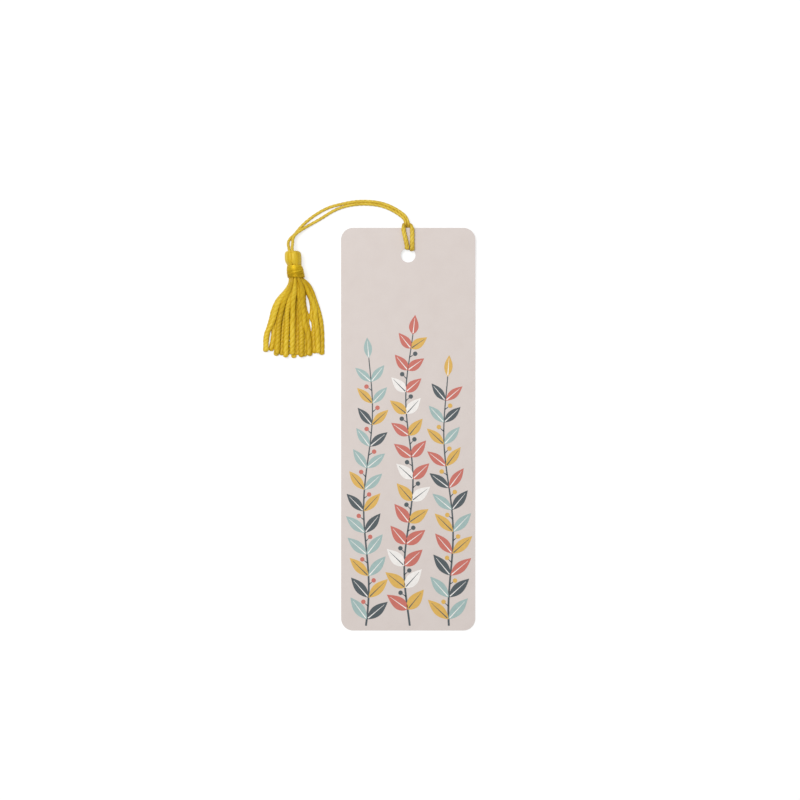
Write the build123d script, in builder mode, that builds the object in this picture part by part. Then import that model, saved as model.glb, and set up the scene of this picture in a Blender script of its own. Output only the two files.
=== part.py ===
"""Card bookmark with a corded tassel, lying flat.

The card lies in the XY plane with its hole end towards +Y and its printed face up. The origin
is the middle of the card's back. A doubled cord is hitched through the hole, runs off to the
left over the surface and carries a tassel of separate strands, bound at the neck.
"""

import os
from math import cos, hypot, pi, radians, sin, sqrt, tan

from build123d import *

# Card
CARD_WIDTH = 50.8
CARD_LENGTH = 152.4
CARD_THICKNESS = 0.45
CARD_CORNER_RADIUS = 4.5
CARD_BOW_LENGTH = 70.0  # the hole end rises off the surface over this length, to clear the cord
HOLE_DIAMETER = 5.5
HOLE_EDGE_DISTANCE = 10.3  # top edge of the card to the middle of the hole

# Cord and its hitch
CORD_DIAMETER = 1.1
CORD_SIDES = 8  # flats round a strand of cord
CORD_CLEARANCE = 0.06  # between two strands, and between a strand and what it lies against
HITCH_FOOT_X = 0.6  # middle of the hitch at the hole
HITCH_HEAD_X = -0.45  # middle of the hitch at the top edge
LEG_SPREAD_AT_HOLE = 2.0  # between the two front legs where they come out of the hole
FOLD_FLAT = 0.04  # straight length between the two bends of the fold through the hole
EDGE_OVERRUN = 0.9  # the legs start down this far past the top edge
BAR_REACH = 2.1  # top edge to the part of the bight that crosses under the strands
RISE_START = 0.7  # the strands start to climb over the bight this far inside the top edge
THROAT_LENGTH = 0.6  # from the bight to the plane where the doubled cord turns over
SWING_MARGIN = 0.04  # past one strand pitch, from the cord's first bend to its swing pivot
HINGE_GAP = 0.1  # between the faces of two lengths of cord that turn on each other
PIVOT_TAIL = 0.3  # a strand that turns in another's hollow end reaches this far past its pivot
BEND_SHARE = 0.45  # part of the shorter run that the arc at a corner may take up

# Places along the doubled cord, from the middle of the card's top edge: x, y, lift off the
# surface, and how far the two strands stand apart, across and upwards, in strand pitches
RUN_ROUTE = [
    (-3.6, 6.6, 0.5, 1.0, 0.0),
    (-6.9, 8.4, 0.0, 1.0, 0.0),
    (-10.8, 9.5, 0.0, 1.0, 0.0),
    (-15.6, 9.9, 0.0, 1.0, 0.0),
    (-20.6, 9.5, 0.0, 1.0, 0.0),
    (-25.3, 8.3, 0.0, 1.05, 0.0),
    (-29.6, 6.7, 0.0, 1.7, 0.0),
    (-33.8, 4.5, 0.0, 2.1, 0.0),
    (-37.7, 2.0, 0.0, 1.6, 0.1),
    (-40.9, -0.5, 0.0, 0.75, 0.75),
    (-43.2, -2.9, 0.0, 0.0, 1.0),
]
EYE_ROUTE = [(-44.2, -4.5, 0.5, 1.2, 0.6), (-44.4, -6.2, 1.7, 1.7, 0.1)]

# Tassel
TASSEL_X = -43.6
TASSEL_TOP_Y = -8.6  # crown of the tassel, from the card's top edge
TASSEL_PIVOT_LIFT = 1.1  # the tassel turns on its cord this far above the crown
YARN_DIAMETER = 0.9
YARN_SIDES = 6  # flats round a strand of yarn
YARN_CLEARANCE = 0.1
OUTER_STRANDS = 12
KNOT_RADIUS = 1.25
KNOT_WRAPS = 2
WRAP_GROOVE = 0.22  # depth of the groove between two wraps of the knot
HEAD_LENGTH = 5.6  # crown to the top of the binding
HEAD_TAPER = 2.7  # the head draws in to the neck over this length
NECK_LEAN = 0.7  # the neck stands this far to the right of the head
BINDING_THREAD = 0.6
BINDING_GAP = 0.42  # between neighbouring turns
BINDING_TURNS = 4.5
GAP_SAMPLES = 48  # places on each turn at which the least gap is measured
SKIRT_LENGTH = 29.3  # foot of the binding to the longest strand tips
HEM_CURVE = 2.2  # the outermost strands end this much higher than the middle ones
LOWER_TIP_PITCH = 2.12
UPPER_TIP_PITCH = 3.0
TIP_SCATTER = 0.3  # tips stray sideways from an even fan by up to this much
TIP_STAGGER = 0.6  # and end this much longer or shorter
SCATTER_STEP = 2.4  # radians from one strand's scatter to the next one's
MIDDLE_ROW_REACH = 1.1  # the neck's middle row is taken this much wider when the fan is ordered
TASSEL_SURFACE_GAP = 0.02
FLARE_RADIUS = 4.0  # of the bend where a strand leaves the binding
FLARE_DROP = 0.7  # the strands turn outwards this far below the binding
# Below the binding, and the part of the way to the tip on the left and on the right
SKIRT_SPREAD = [(7.0, 0.5, 0.62), (15.8, 0.88, 0.92)]

# Levels and pitches that follow from those sizes
TOP_EDGE = CARD_LENGTH / 2
HOLE_Y = TOP_EDGE - HOLE_EDGE_DISTANCE
CORD_RADIUS = CORD_DIAMETER / 2
CORD_PITCH = CORD_DIAMETER + CORD_CLEARANCE
CARD_LIFT = CORD_DIAMETER + CORD_CLEARANCE  # of the card's back at the upper rim of the hole
BOW_START = TOP_EDGE - CARD_BOW_LENGTH
BOW_RUN = HOLE_Y + HOLE_DIAMETER / 2 - BOW_START
BOW_RADIUS = (BOW_RUN**2 + CARD_LIFT**2) / (2 * CARD_LIFT)
LYING = CORD_RADIUS  # height of a strand that lies on the surface
BAR_Y = TOP_EDGE + BAR_REACH
OVER_BAR = LYING + CORD_PITCH  # height of a strand that lies on another one
THROAT_Y = BAR_Y + CORD_RADIUS + THROAT_LENGTH
ROOT_LENGTH = CORD_DIAMETER  # from the turn-over plane, straight on to the cord's first bend
SWING_DISTANCE = CORD_PITCH + SWING_MARGIN
SWING_BARREL = CORD_PITCH / 2 + CORD_RADIUS + 2 * CORD_CLEARANCE
SWING_SOCKET = SWING_BARREL + 3 * HINGE_GAP
STRAND_SOCKET = CORD_RADIUS * sqrt(2) + HINGE_GAP  # clears a square strand end that turns in it

YARN_RADIUS = YARN_DIAMETER / 2
YARN_PITCH = YARN_DIAMETER + YARN_CLEARANCE
INNER_RING = KNOT_RADIUS + YARN_RADIUS + YARN_CLEARANCE
OUTER_RING = INNER_RING + YARN_PITCH
CROWN_RING = YARN_PITCH / (2 * sin(pi / OUTER_STRANDS))
HEAD_RADIUS = OUTER_RING + YARN_RADIUS
TASSEL_Z = HEAD_RADIUS + TASSEL_SURFACE_GAP
NECK_RADIUS = 2 * YARN_PITCH + YARN_RADIUS
BINDING_RADIUS = NECK_RADIUS + BINDING_THREAD / 2 + YARN_CLEARANCE
BINDING_PITCH = BINDING_THREAD + BINDING_GAP
BINDING_LENGTH = BINDING_TURNS * BINDING_PITCH
NECK_END = HEAD_LENGTH + BINDING_LENGTH + BINDING_THREAD
TIP_END = NECK_END + SKIRT_LENGTH
TASSEL_PIVOT_Y = TOP_EDGE + TASSEL_TOP_Y + TASSEL_PIVOT_LIFT
KNOT_TOP = YARN_DIAMETER + 2 * YARN_CLEARANCE  # below the crown
KNOT_LENGTH = HEAD_LENGTH - HEAD_TAPER - KNOT_TOP
CLEAR_HEIGHT = 4 * TASSEL_Z  # above everything


def card_back(y):
    """Height of the card's back above the surface, at a place along the card."""
    run = max(0.0, y - BOW_START)
    return BOW_RADIUS - sqrt(BOW_RADIUS**2 - run**2)


def on_card(y):
    """Height of a strand that lies on the card's face."""
    return card_back(y) + CARD_THICKNESS + CORD_CLEARANCE + CORD_RADIUS


def bend_radii(points):
    """The largest arc that each corner of a route has room for."""
    corners = [Vector(*point) for point in points]
    radii = []
    for before, corner, after in zip(corners, corners[1:], corners[2:]):
        into = corner - before
        out = after - corner
        half_turn = radians(into.get_angle(out)) / 2
        radii.append(BEND_SHARE * min(into.length, out.length) / tan(half_turn))
    return radii


def lay_strand(name, points, radii, diameter, sides):
    """Sweep a strand along straight runs joined by tangent arcs, into the open part.

    Prints its length, its volume against its section times that length, and its bends.
    """
    with BuildLine() as route:
        FilletPolyline(*points, radius=radii)
    with BuildSketch(Plane(origin=route.line @ 0, z_dir=route.line % 0)) as section:
        RegularPolygon(diameter / 2, sides)
    strand = sweep(sections=section.sketch, path=route.line)
    length = sum(edge.length for edge in route.edges())
    share = strand.volume / (section.sketch.area * length)
    bends = ", ".join(f"{radius:.1f}" for radius in radii)
    print(f"{name}: length {length:.1f}, volume {share:.3f} of section, bend radii {bends}")


def lay_cord(name, points, radii=None):
    """Lay one strand of the cord."""
    lay_strand(name, points, radii or bend_radii(points), CORD_DIAMETER, CORD_SIDES)


def pair_of_strands(rows):
    """The outer and the inner strand's points, from rows of places along the doubled cord."""
    places = [Vector(*row[:2]) for row in rows]
    headings = [(after - before).normalized() for before, after in zip(places, places[1:])]
    outer = []
    inner = []
    for index, (x, y, lift, across, upwards) in enumerate(rows):
        into = headings[max(index - 1, 0)]
        out = headings[min(index, len(headings) - 1)]
        mitre = (into + out) / (1 + into.dot(out)) * CORD_PITCH * across / 2
        low = LYING + lift
        outer.append((x + mitre.Y, TOP_EDGE + y - mitre.X, low))
        inner.append((x - mitre.Y, TOP_EDGE + y + mitre.X, low + CORD_PITCH * upwards))
    return outer, inner


def finish(piece, name):
    """Label a piece and write it."""
    piece.part.label = name
    export_step(piece.part, f"parts/{name}.step")


os.makedirs("parts", exist_ok=True)

# Card: a flat length that rests on the surface and a hole end that rises on a wide arc
bow_rise = card_back(TOP_EDGE)
with BuildPart() as card:
    with BuildSketch(Plane.YZ) as side_profile:
        with BuildLine():
            lower = Line((-CARD_LENGTH / 2, 0), (BOW_START, 0))
            lower_bow = TangentArc(lower @ 1, (TOP_EDGE, bow_rise), tangent=(1, 0))
            end = Line(lower_bow @ 1, (TOP_EDGE, bow_rise + CARD_THICKNESS))
            upper = Line((-CARD_LENGTH / 2, CARD_THICKNESS), (BOW_START, CARD_THICKNESS))
            TangentArc(upper @ 1, end @ 1, tangent=(1, 0))
            Line(lower @ 0, upper @ 0)
        make_face()
    extrude(amount=CARD_WIDTH / 2, both=True)
    with BuildSketch() as outline:
        RectangleRounded(CARD_WIDTH, CARD_LENGTH, CARD_CORNER_RADIUS)
        with Locations((0, HOLE_Y)):
            Circle(HOLE_DIAMETER / 2, mode=Mode.SUBTRACT)
    extrude(amount=2 * (bow_rise + CARD_THICKNESS), mode=Mode.INTERSECT)
finish(card, "card")

# Hitch: from the throat the two strands pass over the bight, run back under the card, come up
# through the hole and go along the face over the top edge into the bight
leg_x = LEG_SPREAD_AT_HOLE / 2
rim_above_centre = sqrt((HOLE_DIAMETER / 2) ** 2 - (leg_x + abs(HITCH_FOOT_X)) ** 2)
fold_height = on_card(HOLE_Y + rim_above_centre) - LYING
fold_radius = (fold_height - FOLD_FLAT) / 2
fold_y = HOLE_Y + rim_above_centre + CORD_CLEARANCE - fold_radius
edge_y = TOP_EDGE + EDGE_OVERRUN


def hitch_side(side):
    """Points of one half of the hitch, from the throat to the corner of the bight."""
    strand_x = side * CORD_PITCH / 2
    return [
        (HITCH_HEAD_X + strand_x, THROAT_Y - HINGE_GAP / 2, OVER_BAR),
        (HITCH_HEAD_X + strand_x, BAR_Y, OVER_BAR),
        (HITCH_HEAD_X + strand_x, TOP_EDGE - RISE_START, LYING),
        (HITCH_FOOT_X + strand_x, fold_y, LYING),
        (HITCH_FOOT_X + side * leg_x, fold_y, LYING + fold_height),
        (HITCH_HEAD_X + 3 * strand_x, edge_y, on_card(TOP_EDGE) + CORD_CLEARANCE),
        (HITCH_HEAD_X + 3 * strand_x, BAR_Y, LYING),
    ]


hitch_points = hitch_side(1) + hitch_side(-1)[::-1]
hitch_radii = bend_radii(hitch_points)
for corner, place in enumerate(hitch_points[1:-1]):
    if place[1] == fold_y:
        hitch_radii[corner] = fold_radius
with BuildPart() as cord_hitch:
    lay_cord("cord_hitch", hitch_points, hitch_radii)
finish(cord_hitch, "cord_hitch")

# Cord root: the short length between the plane where the cord turns over and its swing pivot
throat = THROAT_Y + HINGE_GAP / 2 - TOP_EDGE
throat_row = (HITCH_HEAD_X, throat, CORD_PITCH, 1.0, 0.0)
bend_row = (HITCH_HEAD_X, throat + ROOT_LENGTH, CORD_PITCH, 1.0, 0.0)
after_bend = Vector(*RUN_ROUTE[0][:2]) - Vector(*bend_row[:2])
swing_heading = after_bend.normalized()
swing_place = Vector(*bend_row[:2]) + swing_heading * SWING_DISTANCE
swing_lift = CORD_PITCH + (RUN_ROUTE[0][2] - CORD_PITCH) * SWING_DISTANCE / after_bend.length
swing_row = (swing_place.X, swing_place.Y, swing_lift, 1.0, 0.0)
swing_at = (swing_place.X, TOP_EDGE + swing_place.Y)
swing_plane = Plane(origin=(*swing_at, 0), x_dir=swing_heading)
with BuildPart() as cord_root:
    for root_points in pair_of_strands([throat_row, bend_row, swing_row]):
        lay_cord("cord_root", root_points)
    with BuildSketch(swing_plane):
        Circle(SWING_SOCKET)
    extrude(amount=CLEAR_HEIGHT, mode=Mode.SUBTRACT)
finish(cord_root, "cord_root")

# Cord run: two strands, from a round end that turns in the root's hollow end to the eye pivot
eye_at = (RUN_ROUTE[-1][0], TOP_EDGE + RUN_ROUTE[-1][1])
behind = swing_place - swing_heading * SWING_BARREL
run_rows = [(behind.X, behind.Y, swing_lift, 1.0, 0.0), *RUN_ROUTE]
for run_name, run_points in zip(("cord_run_outer", "cord_run_inner"), pair_of_strands(run_rows)):
    with BuildPart() as cord_run:
        lay_cord(run_name, run_points)
        with BuildSketch(swing_plane):
            Circle(SWING_BARREL)
            Rectangle(CARD_LENGTH, CARD_LENGTH, align=(Align.MIN, Align.CENTER))
        extrude(amount=CLEAR_HEIGHT, mode=Mode.INTERSECT)
        with BuildSketch():
            with Locations(eye_at):
                Circle(STRAND_SOCKET)
        extrude(amount=CLEAR_HEIGHT, mode=Mode.SUBTRACT)
    finish(cord_run, run_name)

# Cord eye: the two strands open into a small eye and rise to the crown of the tassel
crown_row = (TASSEL_X, TASSEL_TOP_Y + TASSEL_PIVOT_LIFT, TASSEL_Z - LYING, 1.0, 0.0)
eye_heading = (Vector(*EYE_ROUTE[0][:2]) - Vector(*RUN_ROUTE[-1][:2])).normalized()
eye_start = Vector(*RUN_ROUTE[-1][:2]) - eye_heading * PIVOT_TAIL
eye_rows = [(eye_start.X, eye_start.Y, *RUN_ROUTE[-1][2:]), *EYE_ROUTE, crown_row]
for eye_name, eye_points in zip(("cord_eye_outer", "cord_eye_inner"), pair_of_strands(eye_rows)):
    with BuildPart() as cord_eye:
        lay_cord(eye_name, eye_points)
        with BuildSketch(Plane.YZ.offset(TASSEL_X)):
            with Locations((TASSEL_PIVOT_Y, TASSEL_Z)):
                Circle(STRAND_SOCKET)
        extrude(amount=CARD_WIDTH, both=True, mode=Mode.SUBTRACT)
    finish(cord_eye, eye_name)


def tassel_point(across, down, up):
    """A place in the tassel: across its width, down from its crown, up from its axis."""
    return (TASSEL_X + across, TOP_EDGE + TASSEL_TOP_Y - down, TASSEL_Z + up)


# Stopper knot: the cord's two ends, tied inside the head, with the strands draped over the knot
knot_plane = Plane(origin=tassel_point(0, KNOT_TOP, 0), x_dir=(1, 0, 0), z_dir=(0, 0, 1))
wrap_length = KNOT_LENGTH / KNOT_WRAPS
groove_radius = KNOT_RADIUS - WRAP_GROOVE
with BuildPart() as stopper_knot:
    with BuildSketch(knot_plane):
        with BuildLine():
            Line((0, 0), (groove_radius, 0))
            for wrap in range(KNOT_WRAPS):
                top = -wrap * wrap_length
                foot = top - wrap_length
                crest = [(KNOT_RADIUS, top - WRAP_GROOVE), (KNOT_RADIUS, foot + WRAP_GROOVE)]
                Polyline((groove_radius, top), *crest, (groove_radius, foot))
            Line((groove_radius, -KNOT_LENGTH), (0, -KNOT_LENGTH))
            Line((0, -KNOT_LENGTH), (0, 0))
        make_face()
    revolve(axis=Axis(tassel_point(0, 0, 0), (0, 1, 0)))
    stub_top = TASSEL_PIVOT_LIFT + PIVOT_TAIL
    with BuildSketch(Plane(tassel_point(0, -stub_top, 0), x_dir=(1, 0, 0), z_dir=(0, -1, 0))):
        with GridLocations(CORD_PITCH, CORD_PITCH, 2, 1):
            RegularPolygon(CORD_RADIUS, CORD_SIDES)
    extrude(amount=stub_top + KNOT_TOP + wrap_length / 2)
finish(stopper_knot, "stopper_knot")

# Neck binding: one thread wound round the strands below the knot
half_turns = round(2 * BINDING_TURNS)


def binding_point(turns):
    """A place on the middle of the binding thread."""
    angle = 2 * pi * turns
    down = HEAD_LENGTH + BINDING_THREAD / 2 + turns * BINDING_PITCH
    across = NECK_LEAN + BINDING_RADIUS * cos(angle)
    return Vector(*tassel_point(across, down, BINDING_RADIUS * sin(angle)))


def binding_heading(turns):
    """The way the binding thread runs there."""
    angle = 2 * pi * turns
    around = 2 * pi * BINDING_RADIUS
    return Vector(-around * sin(angle), -BINDING_PITCH, around * cos(angle)).normalized()


with BuildPart() as neck_binding:
    with BuildLine() as thread:
        Line(binding_point(0) - binding_heading(0) * BINDING_THREAD, binding_point(0))
        for half_turn in range(half_turns):
            first, last = binding_point(half_turn / 2), binding_point((half_turn + 1) / 2)
            into, out = binding_heading(half_turn / 2), binding_heading((half_turn + 1) / 2)
            chord = last - first
            bulge = 2 * (1 - into.dot(out))
            pull = 2 * chord.dot(into + out)
            reach = (sqrt(pull**2 + 4 * bulge * chord.dot(chord)) - pull) / (2 * bulge)
            first_control, last_control = first + into * reach, last - out * reach
            middle = (first_control + last_control) / 2
            TangentArc(first, middle, tangent=into)
            TangentArc(middle, last, tangent=last_control - first_control)
        end_heading = binding_heading(BINDING_TURNS)
        Line(binding_point(BINDING_TURNS), binding_point(BINDING_TURNS) + end_heading * BINDING_THREAD)
    with BuildSketch(Plane(origin=thread.line @ 0, z_dir=thread.line % 0)):
        RegularPolygon(BINDING_THREAD / 2, YARN_SIDES)
    sweep()
finish(neck_binding, "neck_binding")
samples = [binding_point(step / GAP_SAMPLES) for step in range(round(GAP_SAMPLES * BINDING_TURNS) + 1)]
half_turn_on = GAP_SAMPLES // 2
least = min((a - b).length for i, a in enumerate(samples) for b in samples[i + half_turn_on :])
print(f"neck_binding: least gap to itself {least - BINDING_THREAD:.2f}")

# Strands: in the neck they lie in a close hexagonal bundle round an empty middle
neck_cells = []
for row in range(-2, 3):
    in_row = 5 - abs(row)
    for place in range(in_row):
        cell = ((place - (in_row - 1) / 2) * YARN_PITCH, row * YARN_PITCH * sqrt(3) / 2)
        if hypot(*cell) > YARN_RADIUS:
            neck_cells.append((row, *cell))


# In the skirt the upper two rows lie on the rest, which fan out on the surface
def fan_order(cell):
    """Where a neck cell comes in the fan, from left to right."""
    return cell[1] * (MIDDLE_ROW_REACH if cell[0] == 0 else 1)


lower_cells = sorted((cell for cell in neck_cells if cell[0] <= 0), key=fan_order)
upper_cells = sorted((cell for cell in neck_cells if cell[0] > 0), key=fan_order)
lower_level = YARN_RADIUS + TASSEL_SURFACE_GAP - TASSEL_Z
tips = {}
for cells, tip_pitch, level in (
    (lower_cells, LOWER_TIP_PITCH, lower_level),
    (upper_cells, UPPER_TIP_PITCH, lower_level + YARN_PITCH),
):
    for rank, cell in enumerate(cells):
        tips[cell] = ((rank - (len(cells) - 1) / 2) * tip_pitch, level)
half_hem = LOWER_TIP_PITCH * (len(lower_cells) - 1) / 2

for number, cell in enumerate([*lower_cells, *upper_cells], start=1):
    row, neck_across, neck_up = cell
    stray = sin(SCATTER_STEP * number)
    tip_across, tip_up = tips[cell][0] + TIP_SCATTER * stray, tips[cell][1]
    tip_down = TIP_END - HEM_CURVE * (tip_across / half_hem) ** 2 + TIP_STAGGER * stray
    ring = hypot(neck_across, neck_up)
    outward = (neck_across / ring, neck_up / ring)
    outer = ring > YARN_PITCH + YARN_RADIUS
    head_ring = OUTER_RING if outer else INNER_RING
    shoulder = YARN_RADIUS + OUTER_RING - CROWN_RING
    places = []
    if outer:
        places.append((CROWN_RING, YARN_RADIUS))
        places.append((head_ring, shoulder))
    else:
        places.append((head_ring, shoulder + YARN_CLEARANCE))
    places.append((head_ring, HEAD_LENGTH - HEAD_TAPER))
    strand_points = [tassel_point(outward[0] * out, down, outward[1] * out) for out, down in places]
    neck_across += NECK_LEAN
    strand_points.append(tassel_point(neck_across, HEAD_LENGTH, neck_up))
    flare = len(strand_points) - 1
    to_the_right = (tip_across + half_hem) / (2 * half_hem)
    skirt = [(drop, left + (right - left) * to_the_right) for drop, left, right in SKIRT_SPREAD]
    for drop, spread in ((FLARE_DROP, 0.0), *skirt, (tip_down - NECK_END, 1.0)):
        across = neck_across + spread * (tip_across - neck_across)
        up = neck_up + spread * (tip_up - neck_up)
        strand_points.append(tassel_point(across, NECK_END + drop, up))
    strand_radii = bend_radii(strand_points)
    strand_radii[flare] = min(strand_radii[flare], FLARE_RADIUS)
    strand_name = f"tassel_strand_{number:02d}"
    with BuildPart() as tassel_strand:
        lay_strand(strand_name, strand_points, strand_radii, YARN_DIAMETER, YARN_SIDES)
    finish(tassel_strand, strand_name)

print(f"turn-over axis x {HITCH_HEAD_X}, y {THROAT_Y:.3f}, z {OVER_BAR:.3f}")
print(f"swing pivot x {swing_at[0]:.3f}, y {swing_at[1]:.3f}; eye pivot x {eye_at[0]}, y {eye_at[1]:.3f}")
print(f"tassel pivot x {TASSEL_X}, y {TASSEL_PIVOT_Y:.3f}, z {TASSEL_Z:.3f}; card lift {bow_rise:.3f}")
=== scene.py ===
"""Looks of a card bookmark with a corded tassel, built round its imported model."""

import math

import bpy
import numpy as np
from mathutils import Matrix, Vector


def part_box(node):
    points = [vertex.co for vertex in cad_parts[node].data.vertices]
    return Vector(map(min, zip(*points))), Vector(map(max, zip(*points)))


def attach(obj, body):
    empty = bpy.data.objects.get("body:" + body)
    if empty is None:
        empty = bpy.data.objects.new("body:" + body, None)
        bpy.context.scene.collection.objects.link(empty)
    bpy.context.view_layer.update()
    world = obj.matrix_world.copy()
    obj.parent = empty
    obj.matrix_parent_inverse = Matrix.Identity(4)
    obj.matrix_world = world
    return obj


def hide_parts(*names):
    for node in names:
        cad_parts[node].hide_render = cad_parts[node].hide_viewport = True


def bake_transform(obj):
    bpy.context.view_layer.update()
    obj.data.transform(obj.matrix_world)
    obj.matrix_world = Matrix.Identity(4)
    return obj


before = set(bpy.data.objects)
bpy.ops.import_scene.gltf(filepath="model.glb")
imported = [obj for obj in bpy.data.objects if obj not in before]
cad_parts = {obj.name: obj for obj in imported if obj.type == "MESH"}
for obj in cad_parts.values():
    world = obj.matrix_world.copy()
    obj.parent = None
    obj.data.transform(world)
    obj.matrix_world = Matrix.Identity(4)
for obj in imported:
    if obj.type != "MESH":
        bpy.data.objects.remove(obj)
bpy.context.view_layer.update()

# Sizes are in millimetres, and become metres when a mesh is made
MM = 0.001
TOP_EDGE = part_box("card")[1][1] / MM

# Camera and light
VIEW_CENTRE = (-3.1, 11.1)  # what lies in the middle of the picture
VIEW_WIDTH = 303.2  # what it shows from side to side
LENS = 100.0
SENSOR = 36.0
KEY_PLACE = (-0.27, 0.27, 0.87)  # in metres, as are the sizes of the lamp and the floor
KEY_SIZE = 0.5
KEY_POWER = 5.14
SKY_LEVEL = 0.45
FLOOR_SIZE = 3.0
FLOOR_DROP = 0.03  # the floor lies this far below the bookmark
FLOOR_GREY = 0.62  # of the paper that lights the bookmark from below
FLOOR_LIT = 0.46  # grey of the paper that the eye sees
FLOOR_GLOW = 0.64  # and its own light, which makes it white

# Cord: three plies twisted together
CORD_DIAMETER = 1.1
CORD_FULLNESS = 1.1  # the soft plies stand out past the cord's measured size by this much
CORD_PITCH = 1.16  # between the middles of two strands side by side
CORD_PLIES = 3
CORD_LAY = 5.2  # length of one whole turn of the twist
CORD_STEP = 0.14  # between two rings of a strand's mesh
CORD_GROOVE = 0.34  # how deep the grooves between its plies are, as a part of round plies' grooves
PLY_SHARE = 0.52  # radius of a ply, as a part of its strand's
LYING = CORD_DIAMETER / 2  # height of the middle of a strand on the surface
OVER_BAR = LYING + CORD_PITCH  # and of one that crosses the bar of the hitch
BAR_Y = TOP_EDGE + 1.1
THROAT_Y = TOP_EDGE + 3.25  # where the two strands come out of the hitch
THROAT_SLANT = 0.45  # the cord leaves the hitch leaning to the left
TWIST_Y = TOP_EDGE + 2.2  # the strands above this twist when the cord turns over
HITCH_FOOT_X = 0.55  # middle of the hitch at the hole
HITCH_HEAD_X = -0.45  # and at the card's top edge
HITCH_LEFT = -10.0  # the cord to the left of this is no part of the hitch
LEG_X = 1.0  # half the distance between the front legs at the hole
HOLE_Y = TOP_EDGE - 10.3
HOLE_RADIUS = 2.75
FOLD_REACH = 0.45  # rim of the hole to the middle of the strand that folds over it
FOLD_TOP = 2.2  # height of the front legs at the hole
LEG_TOP = 2.57  # and at the card's top edge
RIM_REACH = 2.0  # the fold lies this near to the rim of the hole
FOLD_MIDDLE = 1.45  # height of the middle of the fold
FOLD_SPAN = 0.8
FOLD_PRESS = (0.2, -0.38, 0.0)  # how much larger the cord is there, in x, y and z
LEG_PRESS = (0.45, 0.0, -0.12)  # and in the legs that lie on the card's face
# Places along the doubled cord from the middle of the card's top edge: x, y, lift off the
# surface, and how far the two strands stand apart, across and upwards, in strand pitches
CORD_ROUTE = [
    (-1.5, 4.15, 1.16, 0.92, 0.0),
    (-2.7, 5.2, 0.95, 0.92, 0.0),
    (-4.5, 6.45, 0.5, 0.94, 0.0),
    (-7.3, 8.0, 0.0, 0.95, 0.0),
    (-11.0, 9.2, 0.0, 0.95, 0.0),
    (-15.6, 9.7, 0.0, 0.95, 0.0),
    (-20.6, 9.5, 0.0, 0.95, 0.0),
    (-25.3, 8.5, 0.0, 1.0, 0.0),
    (-29.6, 7.0, 0.0, 1.7, 0.0),
    (-33.8, 4.5, 0.0, 2.1, 0.0),
    (-37.7, 2.0, 0.0, 1.6, 0.1),
    (-40.9, -0.5, 0.15, 0.75, 0.75),
    (-43.0, -2.7, 0.6, 0.1, 1.0),
    (-44.1, -4.2, 1.4, 0.9, 0.7),
    (-44.5, -5.8, 2.6, 1.55, 0.1),
    (-44.4, -7.4, 4.0, 1.15, 0.0),
    (-44.2, -8.8, 4.9, 0.9, 0.0),
    (-44.0, -10.0, 4.7, 0.8, 0.0),
    (-43.8, -11.2, 3.0, 0.8, 0.0),
]
# Where the cord's lengths meet: a little before each pivot, so that a bend lies on both sides of it
SWING_CUT = (-1.05, 80.7)
EYE_CUT = (-41.8, 74.75)
LIFT_CUT_Y = 71.3
EYE_RIGHT = -40.0  # the eye lies to the left of this

# Tassel
TASSEL_X = -43.6
CROWN_Y = TOP_EDGE - 8.6
TASSEL_Z = 3.27  # height of its axis
COIL_TURNS = 2.2  # of the knot inside the head
COIL_RADIUS = 0.72
COIL_PITCH = 0.95
COIL_TOP = 1.55  # below the crown
COIL_STRAND = 0.5
COIL_GROOVE = 0.8
YARN_RADIUS = 0.45
YARN_PITCH = 1.0
YARN_PLIES = 3
YARN_LAY = 6.6  # length of one whole turn of the twist
YARN_STEP = 0.16  # between two rings
HEAD_LENGTH = 5.6
HEAD_LEAN = 0.05  # the head leans right by this part of the way down
NECK_LEAN = 0.7  # to the right of the crown, at the top of the neck
NECK_SWAY = 0.4  # and further right at its foot
NECK_END = 10.79  # foot of the binding, below the crown
SKIRT_LENGTH = 29.3
TIP_END = NECK_END + SKIRT_LENGTH
HEM_CURVE = (2.2, 1.1)  # rise of the hem at its left and its right end
LOWER_TIP_PITCH = 2.12
UPPER_TIP_PITCH = 3.0
BINDING_RADIUS = 2.82
BINDING_SWELL = 0.3  # the binding is this much wider at its foot
BINDING_ROUNDING = 0.24  # and drawn in by this much at both ends
BINDING_LEAN = (0.68, 1.35)  # of its top and its foot, to the right of the crown
BINDING_THREAD = 0.46
BINDING_FLATNESS = 1.8  # the soft thread lies this much wider than it is thick
BINDING_PITCH = 0.45
HEAD_TURN = -0.096  # radians that the head's strands stand turned from the neck's
LOBE_GROOVE = 1.737  # angle of the groove between the head's two lobes
LOBE_PART = 0.17  # radians that strands beside it stand aside
LOBE_REACH = 0.45

chance = np.random.default_rng(11)


def linear(code):
    """A linear colour from an sRGB hex value."""
    parts = [int(code[place : place + 2], 16) / 255 for place in (1, 3, 5)]
    light = [part / 12.92 if part <= 0.04045 else ((part + 0.055) / 1.055) ** 2.4 for part in parts]
    return (*light, 1.0)


def add_node(tree, kind, inputs=None, **settings):
    """Add a node with its settings, and set or link its inputs."""
    node = tree.nodes.new(kind)
    for name, value in settings.items():
        setattr(node, name, value)
    for name, value in (inputs or {}).items():
        if isinstance(value, bpy.types.NodeSocket):
            tree.links.new(value, node.inputs[name])
        else:
            node.inputs[name].default_value = value
    return node


def new_finish(name):
    """A bare material, its tree and its output node."""
    finish = bpy.data.materials.new(name)
    finish.use_nodes = True
    finish.node_tree.nodes.clear()
    return finish, finish.node_tree, add_node(finish.node_tree, "ShaderNodeOutputMaterial")


def background_rays(tree):
    """One for rays from the eye and for those that a shiny or a clear surface passes on, else nought."""
    path = add_node(tree, "ShaderNodeLightPath")
    shown = path.outputs["Is Camera Ray"]
    for kind in ("Is Glossy Ray", "Is Transmission Ray"):
        both = add_node(tree, "ShaderNodeMath", {0: shown, 1: path.outputs[kind]}, operation="MAXIMUM")
        shown = both.outputs[0]
    return shown


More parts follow.
